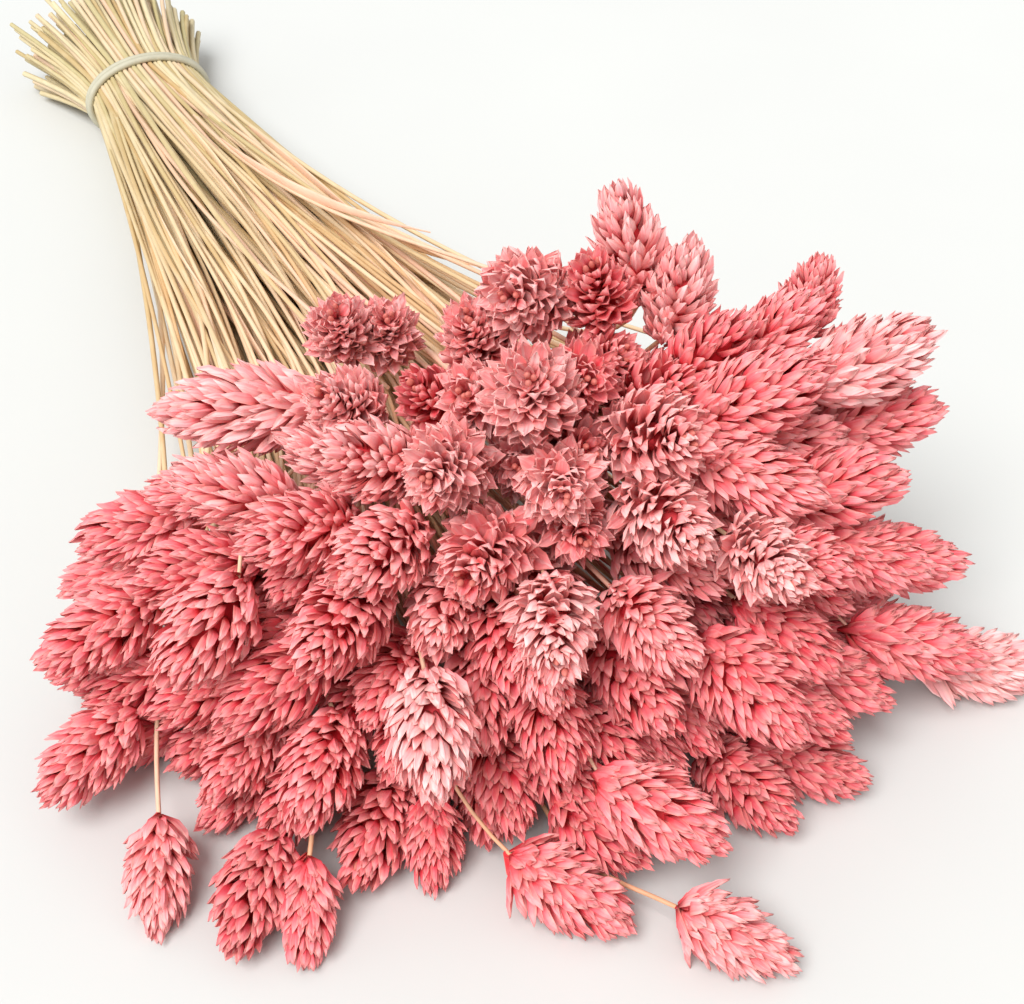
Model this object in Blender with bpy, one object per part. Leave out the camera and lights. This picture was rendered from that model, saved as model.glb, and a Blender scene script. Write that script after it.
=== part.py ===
"""A tied bunch of dried, dyed canary grass, lying on its side.

Every grass plant is a thin straw stem that ends in one egg-shaped seed head covered with pointed scales.
All stems run through one rubber band near their cut ends and fan out to a mound of heads. Sizes are in
millimetres until an object is placed. Heads point towards -Y and cut ends towards +Y. The floor is z = 0,
and the origin is where the band's first turn rests on it.
"""

import math
import random

import bmesh
import bpy
import numpy as np
from mathutils import Matrix, Vector

MM = 0.001
SEED = 11

# The waist: the oval where the band grips the stems
WAIST_HALF_WIDTH = 23.0
WAIST_HALF_HEIGHT = 15.0
BAND_STRAND = 2.6
BAND_TURNS = 2
BAND_GROOVE = 0.8
BAND_ROUND = 0.2
BAND_SEGMENTS = 36
BAND_FLAT = 0.5
FIT_GAP = 0.3
SEAT_GAP = 0.5
WAIST_HEIGHT = WAIST_HALF_HEIGHT + FIT_GAP + BAND_STRAND - BAND_FLAT

# The mound of heads, as an upright half ellipsoid turned a little about the vertical and leaning to one side
MOUND_X, MOUND_Y = -8.0, -343.0
MOUND_HALF_WIDTH = 106.0
MOUND_HALF_DEPTH = 66.0
MOUND_TOP = 118.0
MOUND_LEAN = 0.2
MOUND_TURN = math.radians(-18)
TIER_SWEEP = math.radians(96)

# Each tier of the mound: height of the heads' middles, number of heads, and how far they look up, in degrees
TIERS = (
    (10, 12, -3),
    (28, 13, -8),
    (46, 13, -6),
    (63, 12, 4),
    (79, 9, 20),
    (92, 7, 34),
)

# Heads that stand out of the mound or lie in front of it. Heading is turned from -Y towards +X and pitch is
# up from level, both in degrees.
#     x     y    z  heading pitch length radius
STANDOUTS = (
    (14, -330, 116, -42, 30, 35, 11.5),
    (32, -327, 119, -116, 76, 34, 9.2),
    (45, -341, 109, 64, 80, 29, 8.4),
    (60, -357, 99, 66, 46, 30, 8.8),
    (78, -350, 106, 40, 82, 21, 7.0),
    (86, -354, 82, 62, 30, 27, 8.4),
    (-7, -361, 108, -28, 48, 30, 11.8),
    (-10, -323, 97, -40, 58, 26, 9.4),
    (-33, -290, 84, -30, 55, 24, 8.6),
    (-5, -284, 80, -20, 52, 25, 8.8),
    (-40, -320, 90, -56, 44, 27, 9.0),
    (20, -338, 92, 14, 46, 28, 9.0),
    (44, -346, 84, 50, 30, 29, 9.0),
    (-61, -309, 82, -104, 6, 42, 11.6),
    (58, -367, 80, 60, 6, 38, 10.2),
    (40, -386, 78, 40, -4, 33, 10.0),
    (17, -387, 76, -4, 14, 34, 10.4),
    (24, -408, 46, 14, -8, 36, 11.4),
    (-8, -423, 25, 34, -6, 34, 10.6),
    (-24, -401, 57, -8, -12, 18, 6.8),
    (-46, -396, 46, -20, -6, 34, 10.6),
    (-89, -349, 56, -52, -4, 32, 10.8),
    (-106, -320, 46, -76, -4, 33, 10.0),
    (-122, -336, 21, -62, -8, 31, 10.0),
    (-84, -378, 11, -40, -8, 32, 9.8),
    (-113, -379, 9, -22, -26, 27, 8.0),
    (-84, -401, 8, -24, -28, 24, 7.2),
    (-56, -402, 10, -22, -24, 22, 7.6),
    (-38, -418, 10, 34, -10, 33, 9.4),
    (9, -450, 9, 40, -12, 29, 8.6),
    (84, -384, 42, 62, -4, 38, 10.0),
    (80, -404, 28, 58, -8, 36, 9.8),
    (108, -407, 10, 60, -2, 36, 9.4),
    (42, -415, 11, 44, -4, 32, 9.6),
)

# A seed head of the mound: its size, and how far its place and aim stray from the tier's
HEAD_LENGTH = (28.0, 37.0)
HEAD_PLUMPNESS = 0.3
PLUMPNESS_SPREAD = (0.94, 1.06)
PLACE_SPREAD = 0.2
DEPTH_SPREAD = (-7, 5)
HEIGHT_SPREAD = 3
HEADING_SPREAD = 9.0
PITCH_SPREAD = 7.0

# A head's outline, broad below and drawn in above, and its scales
HEAD_SKEW, HEAD_BLUNT = 0.8, 0.6
SCALES_AROUND = 4
SCALE_ROWS = 5
FIRST_ROW, LAST_ROW = 0.14, 0.82
SCALE_LIFT = 0.1
SCALE_DIP = 0.03
NOTCH_DEPTH = 0.22
SEAT_SHARE = 0.28

# How the heads are eased apart
GUARD_BALLS = (0.14, 0.32, 0.5, 0.68, 0.86)
TIER_HOLD, STANDOUT_HOLD = 0.03, 0.5
HOLD_STIFFNESS = 3
HEAD_GAP = 0.7
HEAD_NODES = 58
MATE_BITE = 4.6
STEM_BETWEEN = 7.0
GATHER = 0.004
HEAD_PUSH, STEM_PUSH, MATE_PULL = 0.16, 0.2, 0.3
LARGEST_MOVE = 2.5
ON_FLOOR_BELOW = 13.0
EASE_ROUNDS = 300
SETTLE_ROUNDS = 600

# Stems: three-sided stalks from the cut end through a slot in the waist to the head
STEM_RADIUS_LOW = 1.0
STEM_RADIUS_TOP = 0.85
STEM_SIDES = 3
STEM_GAP = 1.0
STEM_SHARES = (0.0, 0.42, 0.7, 0.87, 1.0)
STEM_PROBES = 16
PROBED = (0.45, 0.985)
STEM_GIVE = np.array([0.0, 0.985, 0.985, 0.985, 0.0])
ROOT_SPREAD = 0.9
ROOT_COLUMNS = 11
LEAVE_SHARE = 0.42
LEAVE_SPREAD = 0.7
NECK_SHARE = 0.13
CUT_END_Y = 62.0
CUT_END_SPREAD = 9.0
CUT_END_FLARE = (1.4, 1.8)

# The gripped plug under the band, where the stems are pressed into one, and its ridges
PLUG_HALF_LENGTH = 9.0
PLUG_RIDGES = 20
RIDGE_DEPTH = 0.8

HEAD_COLOUR = (0.80, 0.22, 0.25, 1.0)
STEM_COLOUR = (0.72, 0.60, 0.36, 1.0)
BAND_COLOUR = (0.62, 0.62, 0.56, 1.0)


def clear_scene():
    for obj in list(bpy.data.objects):
        bpy.data.objects.remove(obj, do_unlink=True)


def make_collection(name):
    collection = bpy.data.collections.new(name)
    bpy.context.scene.collection.children.link(collection)
    return collection


def make_material(name, colour, roughness):
    material = bpy.data.materials.new(name)
    material.use_nodes = True
    shader = material.node_tree.nodes["Principled BSDF"]
    shader.inputs["Base Color"].default_value = colour
    shader.inputs["Roughness"].default_value = roughness
    shader.inputs["Metallic"].default_value = 0.0
    return material


def head_radius(share):
    """Radius of a seed head, as a share of its widest, at a share of its length."""
    return math.sin(math.pi * min(max(share, 0.0), 1.0) ** HEAD_SKEW) ** HEAD_BLUNT


def head_template():
    """A seed head of length 1 and radius 1 along +Z: a ball whose points are raised and sunk into scales.

    The lowest ring is the flat seat that the stem meets. Every other ring alternates scale tips, pushed out
    and on, with notches between them, and each ring's tips stand over the notches of the ring before.
    """
    around = 2 * SCALES_AROUND
    mesh = bmesh.new()
    bmesh.ops.create_uvsphere(mesh, u_segments=around, v_segments=SCALE_ROWS + 2, radius=1.0)
    for vert in mesh.verts:
        polar = math.acos(max(-1.0, min(1.0, -vert.co.z)))
        ring = round(polar / math.pi * (SCALE_ROWS + 2)) - 1
        angle = math.atan2(vert.co.y, vert.co.x)
        if ring < 0:
            vert.co = (0.0, 0.0, 0.0)
        elif ring > SCALE_ROWS:
            vert.co = (0.0, 0.0, 1.0)
        elif ring == 0:
            vert.co = (SEAT_SHARE * math.cos(angle), SEAT_SHARE * math.sin(angle), 0.0)
        else:
            share = FIRST_ROW + (LAST_ROW - FIRST_ROW) * (ring - 1) / (SCALE_ROWS - 1)
            column = round(angle / (2 * math.pi) * around)
            if (column + ring) % 2:
                height = share + SCALE_LIFT
                radius = head_radius(height)
            else:
                height = share - SCALE_DIP
                radius = head_radius(height) * (1 - NOTCH_DEPTH)
            vert.co = (radius * math.cos(angle), radius * math.sin(angle), height)
    return mesh


def direction(heading, pitch):
    """Unit vector from a heading, turned from -Y towards +X, and a pitch above level, both in degrees."""
    h, p = math.radians(heading), math.radians(pitch)
    return np.array([math.sin(h) * math.cos(p), -math.cos(h) * math.cos(p), math.sin(p)])


def mound_point(across, forward, up):
    c, s = math.cos(MOUND_TURN), math.sin(MOUND_TURN)
    return np.array([MOUND_X + across * c + forward * s, MOUND_Y + across * s - forward * c, up])


def plan_heads():
    """Every head as (middle, axis, length, radius, hold): the mound's tiers, then those that stand out."""
    draw = random.Random(SEED)
    heads = []
    for tier, (height, count, pitch) in enumerate(TIERS):
        shrink = math.sqrt(1 - (height / MOUND_TOP) ** 2)
        for k in range(count):
            turn = TIER_SWEEP * (2 * (k + 0.5 + draw.uniform(-PLACE_SPREAD, PLACE_SPREAD)) / count - 1)
            depth = MOUND_HALF_DEPTH + draw.uniform(*DEPTH_SPREAD)
            middle = mound_point(
                MOUND_HALF_WIDTH * shrink * math.sin(turn) + MOUND_LEAN * height,
                depth * shrink * math.cos(turn),
                height + draw.uniform(-HEIGHT_SPREAD, HEIGHT_SPREAD) * (tier > 0),
            )
            heading = math.degrees(turn + MOUND_TURN) + draw.uniform(-HEADING_SPREAD, HEADING_SPREAD)
            look_up = pitch + draw.uniform(-PITCH_SPREAD, PITCH_SPREAD) * (tier > 0)
            length = draw.uniform(*HEAD_LENGTH)
            radius = length * HEAD_PLUMPNESS * draw.uniform(*PLUMPNESS_SPREAD)
            heads.append((middle, direction(heading, look_up), length, radius, TIER_HOLD))
    for x, y, z, heading, pitch, length, radius in STANDOUTS:
        heads.append((np.array([x, y, z], float), direction(heading, pitch), length, radius, STANDOUT_HOLD))
    return heads


def root_slots(places):
    """Where each stem passes through the waist, so that neighbours in the mound are neighbours in the band.

    The waist's oval is cut into columns. Stems fill them from side to side by the bearing of their heads,
    and each column from below by the heads' rise.
    """
    edges = np.linspace(-1, 1, ROOT_COLUMNS + 1)
    across = (edges[1:] + edges[:-1]) / 2
    tall = np.sqrt(1 - across**2)
    by_bearing = np.argsort(np.arctan2(places[:, 0], -places[:, 1]))
    column = np.searchsorted(np.cumsum(tall) / tall.sum(), (np.arange(len(places)) + 0.5) / len(places))
    rise = places[:, 2] / np.hypot(places[:, 0], places[:, 1])
    slots = np.zeros((len(places), 3))
    for k in range(ROOT_COLUMNS):
        members = by_bearing[column == k]
        members = members[np.argsort(rise[members])]
        level = (2 * np.arange(len(members)) + 1) / max(len(members), 1) - 1
        slots[members, 0] = across[k] * ROOT_SPREAD * WAIST_HALF_WIDTH
        slots[members, 2] = WAIST_HEIGHT + level * tall[k] * ROOT_SPREAD * WAIST_HALF_HEIGHT
    return slots


def stem_points(root, base, axis, steps):
    """Middle line of each stem from its slot in the waist to its head's seat, arriving along the axis."""
    reach = np.linalg.norm(base - root, axis=-1)[..., None]
    leave = root + (base - root) * LEAVE_SHARE * np.array([LEAVE_SPREAD, 1.0, LEAVE_SPREAD])
    neck = base - axis * reach * NECK_SHARE
    t = np.asarray(steps)[:, None]
    root, leave, neck, base = (p[..., None, :] for p in (root, leave, neck, base))
    near_root = (1 - t) ** 3 * root + 3 * t * (1 - t) ** 2 * leave
    return near_root + 3 * t**2 * (1 - t) * neck + t**3 * base


def guard_radii(template, length, radius):
    """Balls along the axis that hold all of a head's points: the radius of each ball."""
    points = np.array([v.co for v in template.verts]) * [radius, radius, length]
    centres = np.array(GUARD_BALLS) * length
    gaps = np.linalg.norm(points[:, None] - np.stack([0 * centres, 0 * centres, centres], -1), axis=2)
    nearest = gaps.argmin(1)
    return np.array([gaps[nearest == k, k].max() for k in range(len(centres))])


def head_turn(axis, facing):
    """Rotation that stands a head along its axis with one column of scale tips turned towards facing."""
    side = facing - axis * facing.dot(axis)
    side /= np.linalg.norm(side)
    return np.stack([side, np.cross(axis, side), axis], 1)


def lowest_point(template, turn, length, radius):
    """How far a head's lowest scale tip lies under its middle."""
    points = np.array([v.co for v in template.verts]) * [radius, radius, length] - [0, 0, length / 2]
    return (points @ turn.T)[:, 2].min()


def pair_up(middles, lines, count):
    """Node number of every head once the closest neighbours share a node, so that count nodes are left.

    Two heads with another head's stem between them stay apart.
    """
    node = np.arange(len(middles))
    far = np.linalg.norm(middles[:, None] - middles[None], axis=2)
    between = (middles[:, None] + middles[None]) / 2
    for owner, line in enumerate(lines):
        near = np.linalg.norm(between[:, :, None] - line[None, None], axis=3).min(2) < STEM_BETWEEN
        near[owner] = False
        near[:, owner] = False
        far[near] = np.inf
    far[np.tril_indices(len(middles))] = np.inf
    for _ in range(len(middles) - count):
        one, other = np.unravel_index(far.argmin(), far.shape)
        node[other] = node[one]
        far[[one, other]] = np.inf
        far[:, [one, other]] = np.inf
    return node


def too_close(points, centres, room):
    """Numbers of the points and centres closer than their room, and how far the centres have to move."""
    square = (points**2).sum(1)[:, None] + (centres**2).sum(1)[None] - 2 * points @ centres.T
    far = np.sqrt(np.maximum(square, 1e-6))
    i, j = np.nonzero(far < room)
    return i, j, (room - far)[i, j, None] * (centres[j] - points[i]) / far[i, j, None]


def ease_apart(heads, template):
    """Moves the heads until no two nodes and no stem and foreign head meet, and a node's two heads bite.

    Returns every head's middle, node number and turn, and its stem's points. At first each head is by itself.
    """
    home, axis, length, radius, hold = (np.array(column) for column in zip(*heads))
    count = len(heads)
    facing = np.tile([0.0, 0.0, 1.0], (count, 1))
    turns = [head_turn(*pair) for pair in zip(axis, facing)]
    floor = -np.array([lowest_point(template, *sizes) for sizes in zip(turns, length, radius)])
    on_floor = home[:, 2] < ON_FLOOR_BELOW
    balls = np.array([guard_radii(template, *sizes) for sizes in zip(length, radius)])
    along = (np.array(GUARD_BALLS) - 0.5)[None, :, None] * length[:, None, None] * axis[:, None, :]
    owner = np.repeat(np.arange(count), len(GUARD_BALLS))
    probe_owner = np.repeat(np.arange(count), STEM_PROBES)
    size = balls.ravel()
    stem_room = size[None] + STEM_RADIUS_TOP + STEM_GAP
    stem_room = np.where(probe_owner[:, None] == owner[None], 0, stem_room)
    probes = np.linspace(*PROBED, STEM_PROBES)
    mix = np.array([np.interp(probes, STEM_SHARES, row) for row in np.eye(len(STEM_SHARES))]).T
    gather_to = np.array([MOUND_X, MOUND_Y + MOUND_HALF_DEPTH, 0])
    gather = GATHER * (hold == TIER_HOLD)[:, None]
    middle = home.copy()
    bend = np.zeros((count, len(STEM_SHARES), 3))
    root = root_slots(home)
    node = np.arange(count)
    for round_number in range(EASE_ROUNDS + SETTLE_ROUNDS):
        base = middle - axis * (length / 2 + SEAT_GAP)[:, None]
        line = np.einsum("pk,nkc->npc", mix, stem_points(root, base, axis, STEM_SHARES) + bend)
        if round_number == EASE_ROUNDS:
            node = pair_up(middle, line, HEAD_NODES)
        centre = (middle[:, None] + along).reshape(-1, 3)
        room = np.where(node[owner][:, None] == node[owner][None], 0, size[:, None] + size[None] + HEAD_GAP)
        move = np.zeros_like(middle)
        _, pushed, way = too_close(centre, centre, room)
        np.add.at(move, owner[pushed], way * HEAD_PUSH)
        stem, pushed, way = too_close(line.reshape(-1, 3), centre, stem_room)
        np.add.at(move, owner[pushed], way * STEM_PUSH)
        np.add.at(move, probe_owner[stem], way * -STEM_PUSH)
        probe_move = np.zeros((count * STEM_PROBES, 3))
        np.add.at(probe_move, stem, way * -STEM_PUSH)
        bend += np.einsum("pk,npc->nkc", mix, probe_move.reshape(line.shape))
        bend *= STEM_GIVE[:, None]
        for k, mate in np.argwhere(np.triu(node[:, None] == node[None], 1)):
            gap = centre[owner == mate][None] - centre[owner == k][:, None]
            far = np.linalg.norm(gap, axis=2)
            bite = balls[k][:, None] + balls[mate][None] - far
            near = np.unravel_index(bite.argmax(), bite.shape)
            facing[k], facing[mate] = gap[near], -gap[near]
            pull = (MATE_BITE - bite[near]) * MATE_PULL * gap[near] / far[near]
            move[k] += pull
            move[mate] -= pull
        if round_number < EASE_ROUNDS:
            move += (home - middle) * hold[:, None] + (gather_to - middle) * gather
            move /= (1 + HOLD_STIFFNESS * hold)[:, None]
        middle += np.clip(move, -LARGEST_MOVE, LARGEST_MOVE)
        middle[:, 2] = np.where(on_floor, floor, np.maximum(middle[:, 2], floor + FIT_GAP))
    turns = [head_turn(*pair) for pair in zip(axis, facing)]
    floor = -np.array([lowest_point(template, *sizes) for sizes in zip(turns, length, radius)])
    middle[:, 2] = np.where(on_floor, floor, np.maximum(middle[:, 2], floor + FIT_GAP))
    base = middle - axis * (length / 2 + SEAT_GAP)[:, None]
    return middle, node, turns, stem_points(root, base, axis, STEM_SHARES) + bend


def place_head(template, middle, turn, length, radius):
    mesh = template.copy()
    place = Matrix.Translation(Vector(middle)) @ Matrix(turn).to_4x4()
    size = Matrix.Diagonal((radius, radius, length, 1.0))
    sink = Matrix.Translation((0.0, 0.0, -length / 2))
    mesh.transform(Matrix.Scale(MM, 4) @ place @ sink @ size)
    return mesh


def mesh_object(mesh, name, collection):
    """Makes an object of the mesh, with flat triangles only, so that a union can't fold a bent face over."""
    bmesh.ops.triangulate(mesh, faces=mesh.faces)
    data = bpy.data.meshes.new(name)
    mesh.to_mesh(data)
    mesh.free()
    obj = bpy.data.objects.new(name, data)
    collection.objects.link(obj)
    return obj


def keep_outer_skin(data):
    """Removes the small closed skins of hollows that are sealed between joined pieces."""
    mesh = bmesh.new()
    mesh.from_mesh(data)
    waiting = set(mesh.verts)
    skins = []
    while waiting:
        skin = set()
        front = [waiting.pop()]
        while front:
            vert = front.pop()
            skin.add(vert)
            near = {edge.other_vert(vert) for edge in vert.link_edges} & waiting
            waiting -= near
            front.extend(near)
        skins.append(skin)
    for skin in sorted(skins, key=len)[:-1]:
        bmesh.ops.delete(mesh, geom=list(skin), context="VERTS")
    mesh.to_mesh(data)
    mesh.free()


def fuse(target, group, solver):
    """Joins a collection's objects to target with one Boolean union and removes the collection."""
    union = target.modifiers.new("Join", "BOOLEAN")
    union.operation = "UNION"
    union.operand_type = "COLLECTION"
    union.collection = group
    union.solver = solver
    graph = bpy.context.evaluated_depsgraph_get()
    joined = bpy.data.meshes.new_from_object(target.evaluated_get(graph))
    target.modifiers.clear()
    target.data = joined
    keep_outer_skin(joined)
    for obj in list(group.objects):
        bpy.data.objects.remove(obj, do_unlink=True)
    bpy.data.collections.remove(group)


def make_heads(heads, placed, template, bunch, material):
    members = {}
    for (_, _, length, radius, _), (middle, node, turn, _) in zip(heads, placed):
        members.setdefault(node, []).append(place_head(template, middle, turn, length, radius))
    for number, meshes in enumerate(members.values(), 1):
        name = f"seed_head_{number:02d}"
        first = mesh_object(meshes[0], name, bunch)
        if len(meshes) > 1:
            group = make_collection(name + "_mate")
            for mesh in meshes[1:]:
                mesh_object(mesh, name + "_mate", group)
            fuse(first, group, "EXACT")
        first.data.materials.clear()
        first.data.materials.append(material)


def polygon_curve(points, name, collection):
    """A closed flat curve through the points, as the section that another curve is swept with."""
    curve = bpy.data.curves.new(name, "CURVE")
    spline = curve.splines.new("POLY")
    spline.points.add(len(points) - 1)
    spline.use_cyclic_u = True
    for point, (x, y) in zip(spline.points, points):
        point.co = (x, y, 0.0, 1.0)
    obj = bpy.data.objects.new(name, curve)
    collection.objects.link(obj)
    return obj


def tube(points, radii, section, name, collection):
    """A stalk of the section through the points, with closed ends, as a mesh in the collection."""
    curve = bpy.data.curves.new(name, "CURVE")
    curve.dimensions = "3D"
    curve.bevel_mode = "OBJECT"
    curve.bevel_object = section
    curve.use_fill_caps = True
    spline = curve.splines.new("POLY")
    spline.points.add(len(points) - 1)
    for point, place, radius in zip(spline.points, points, radii):
        point.co = (*[float(c) * MM for c in place], 1.0)
        point.radius = radius * MM
    guide = bpy.data.objects.new(name, curve)
    collection.objects.link(guide)
    graph = bpy.context.evaluated_depsgraph_get()
    data = bpy.data.meshes.new_from_object(guide.evaluated_get(graph))
    bpy.data.objects.remove(guide, do_unlink=True)
    mesh = bmesh.new()
    mesh.from_mesh(data)
    bmesh.ops.remove_doubles(mesh, verts=mesh.verts, dist=1e-6)
    bmesh.ops.recalc_face_normals(mesh, faces=mesh.faces)
    return mesh_object(mesh, name, collection)


def plug_object(collection):
    """The gripped plug: a drum round the bunch's axis, drawn to the waist's oval and ridged by its stems."""
    around = 2 * PLUG_RIDGES
    mesh = bmesh.new()
    bmesh.ops.create_cone(
        mesh,
        cap_ends=True,
        segments=around,
        radius1=1.0,
        radius2=1.0,
        depth=2 * PLUG_HALF_LENGTH,
        matrix=Matrix.Rotation(math.pi / 2, 4, "X"),
    )
    for vert in mesh.verts:
        angle = math.atan2(vert.co.z, vert.co.x)
        depth = RIDGE_DEPTH * (round(angle / (2 * math.pi) * around) % 2)
        vert.co.x = (WAIST_HALF_WIDTH - depth) * math.cos(angle) * MM
        vert.co.z = (WAIST_HEIGHT + (WAIST_HALF_HEIGHT - depth) * math.sin(angle)) * MM
        vert.co.y *= MM
    return mesh_object(mesh, "stems", collection)


def make_stems(placed, bunch, material):
    """All stems in one piece: each runs from its cut end through the plug to its head."""
    draw = random.Random(SEED + 2)
    plug = plug_object(bunch)
    group = make_collection("stalks")
    corners = [2 * math.pi * k / STEM_SIDES for k in range(STEM_SIDES)]
    section = polygon_curve([(math.cos(a), math.sin(a)) for a in corners], "stalk_section", bunch)
    taper = STEM_RADIUS_TOP - STEM_RADIUS_LOW
    radii = [STEM_RADIUS_LOW] + [STEM_RADIUS_LOW + taper * share for share in STEM_SHARES]
    waist = np.array([0.0, 0.0, WAIST_HEIGHT])
    for _, _, _, points in placed:
        cut_end = waist + (points[0] - waist) * draw.uniform(*CUT_END_FLARE)
        cut_end[1] = CUT_END_Y + draw.uniform(-CUT_END_SPREAD, CUT_END_SPREAD)
        cut_end[2] = max(cut_end[2], STEM_RADIUS_LOW + FIT_GAP)
        tube(np.vstack([cut_end, points]), radii, section, "stalk", group)
    bpy.data.objects.remove(section, do_unlink=True)
    fuse(plug, group, "MANIFOLD")
    plug.data.materials.clear()
    plug.data.materials.append(material)


def make_band(bunch, material):
    """The rubber band: turns side by side round the waist, pressed flat where the bunch lies on them.

    The middle of the first turn is at y = 0.
    """
    half = BAND_STRAND / 2
    left = -half
    outline = [(left + BAND_TURNS * BAND_STRAND, half), (left, half)]
    for turn in range(BAND_TURNS):
        if turn:
            outline.append((left + turn * BAND_STRAND, BAND_GROOVE - half))
        outline.append((left + (turn + BAND_ROUND) * BAND_STRAND, -half))
        outline.append((left + (turn + 1 - BAND_ROUND) * BAND_STRAND, -half))
    section = polygon_curve([(x * MM, y * MM) for x, y in outline], "band_section", bunch)
    curve = bpy.data.curves.new("rubber_band", "CURVE")
    curve.dimensions = "3D"
    curve.bevel_mode = "OBJECT"
    curve.bevel_object = section
    spline = curve.splines.new("POLY")
    spline.points.add(BAND_SEGMENTS - 1)
    spline.use_cyclic_u = True
    for k, point in enumerate(spline.points):
        angle = 2 * math.pi * k / BAND_SEGMENTS
        x = (WAIST_HALF_WIDTH + FIT_GAP + half) * math.cos(angle)
        z = WAIST_HEIGHT + (WAIST_HALF_HEIGHT + FIT_GAP + half) * math.sin(angle)
        point.co = (x * MM, 0.0, z * MM, 1.0)
    guide = bpy.data.objects.new("rubber_band_path", curve)
    bunch.objects.link(guide)
    graph = bpy.context.evaluated_depsgraph_get()
    data = bpy.data.meshes.new_from_object(guide.evaluated_get(graph))
    bpy.data.objects.remove(guide, do_unlink=True)
    bpy.data.objects.remove(section, do_unlink=True)
    mesh = bmesh.new()
    mesh.from_mesh(data)
    for vert in mesh.verts:
        vert.co.z = max(vert.co.z, 0.0)
    bmesh.ops.recalc_face_normals(mesh, faces=mesh.faces)
    band = mesh_object(mesh, "rubber_band", bunch)
    band.data.materials.append(material)


def build():
    clear_scene()
    bunch = make_collection("dried_canary_grass")
    template = head_template()
    heads = plan_heads()
    placed = list(zip(*ease_apart(heads, template)))
    make_heads(heads, placed, template, bunch, make_material("dyed_scales", HEAD_COLOUR, 0.75))
    make_stems(placed, bunch, make_material("straw", STEM_COLOUR, 0.6))
    make_band(bunch, make_material("rubber", BAND_COLOUR, 0.5))
    template.free()


build()
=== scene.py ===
"""Looks of a tied bunch of dried, dyed canary grass that lies on a pale floor.

The solids of the frame say where every seed head is and how large. Each piece here is made round them, in metres
and in the frame's own place: heads towards -Y, cut ends towards +Y, the floor at z = 0.
"""

import math

import bmesh
import bpy
import numpy as np
from mathutils import Euler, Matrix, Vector


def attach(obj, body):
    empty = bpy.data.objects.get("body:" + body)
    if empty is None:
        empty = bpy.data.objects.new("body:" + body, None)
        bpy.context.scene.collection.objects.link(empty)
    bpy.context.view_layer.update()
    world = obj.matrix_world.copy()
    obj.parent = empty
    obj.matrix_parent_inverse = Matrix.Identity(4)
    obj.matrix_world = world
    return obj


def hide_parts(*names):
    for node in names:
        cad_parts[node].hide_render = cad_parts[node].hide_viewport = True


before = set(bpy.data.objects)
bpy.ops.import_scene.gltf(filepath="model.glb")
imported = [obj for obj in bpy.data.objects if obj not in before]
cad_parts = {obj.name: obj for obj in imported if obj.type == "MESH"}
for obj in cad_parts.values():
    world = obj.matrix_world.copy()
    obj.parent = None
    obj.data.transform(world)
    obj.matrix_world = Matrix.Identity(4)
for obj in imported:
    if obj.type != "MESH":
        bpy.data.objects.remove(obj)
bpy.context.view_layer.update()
MM = 0.001


# ---- Camera: close to the heads and above them, looking back along the bunch to the cut ends.
# It stands so near that the heads fill the picture and the tie is small.

CAMERA_AT = (-0.1479, -0.6381, 0.337)
CAMERA_DOWN = math.radians(40)
CAMERA_TURN = math.radians(-26.1)
CAMERA_LENS = 59.77
CAMERA_NEAR = 0.01
CAMERA_FAR = 20.0

camera_lens = bpy.data.cameras.new("camera")
camera_lens.lens = CAMERA_LENS
camera_lens.clip_start = CAMERA_NEAR
camera_lens.clip_end = CAMERA_FAR
camera = bpy.data.objects.new("camera", camera_lens)
camera.location = CAMERA_AT
camera.rotation_euler = (math.pi / 2 - CAMERA_DOWN, 0.0, CAMERA_TURN)
bpy.context.scene.collection.objects.link(camera)
bpy.context.scene.camera = camera


# ---- Straws: each is a hollow dried stalk that is cut straight, runs through the rubber band and thins towards
# its seed head. Hundreds are packed in the band. They fade from straw green to cream, and the dye has wicked into
# their upper ends.

# The waist is the oval in which the band grips the straws. Their slots in it stand in columns.
WAIST_HALF_WIDTH = 23.0 * MM
WAIST_HALF_HEIGHT = 15.0 * MM
WAIST_HEIGHT = 17.4 * MM
WAIST_COLUMNS = 11
WAIST_FILLING = 0.93

# A head's seat is the flat octagon at its foot. Its radius is SEAT_SHARE of the head's, and its area tells it from
# other faces: SEAT_AREA is that of an octagon whose corners are 1 from its middle. Where the tip is hidden in the
# solid of a neighbour, the head's length follows from its radius and HIDDEN_TIP_PLUMPNESS.
HEAD_COUNT = 100
SEAT_SHARE = 0.28
SEAT_SIDES = 8
SEAT_AREA = 2 * math.sqrt(2)
SEAT_TOLERANCE = 0.12
SEAT_GAP = 0.5 * MM
HIDDEN_TIP_PLUMPNESS = 0.3
ON_AXIS = 0.2 * MM

# Small heads are tucked into hollows of the mound, where CROWD_HEADS neighbours are within CROWD_REACH.
TUCKED_LENGTH = (23 * MM, 29 * MM)
TUCKED_PLUMPNESS = 0.33
TUCKED_GAP = 4.6 * MM
TUCKED_SPACING = 2.6 * TUCKED_GAP
TUCKED_BEHIND = 9 * MM
TUCKED_ABOVE = 12 * MM
HOLLOW_TRIES = 5000
CROWD_HEADS = 6
CROWD_REACH = 38 * MM

# A straw leaves the waist mostly along the bunch and bends at a neck below its head. Both are shares of its way.
STRAW_RADIUS = 1.05 * MM
STRAW_TOP_RADIUS = 0.55 * MM
STRAW_THINNING = (0.2, 0.9)
STRAW_SPREAD = (0.8, 1.15)
STRAW_SIDES = 6
STRAW_STEPS = 30
STRAW_LEAVE_SHARE = 0.42
STRAW_LEAVE_WAY = np.array([0.4, 1.0, 0.2])
STRAW_NECK_SHARE = 0.13

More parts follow.
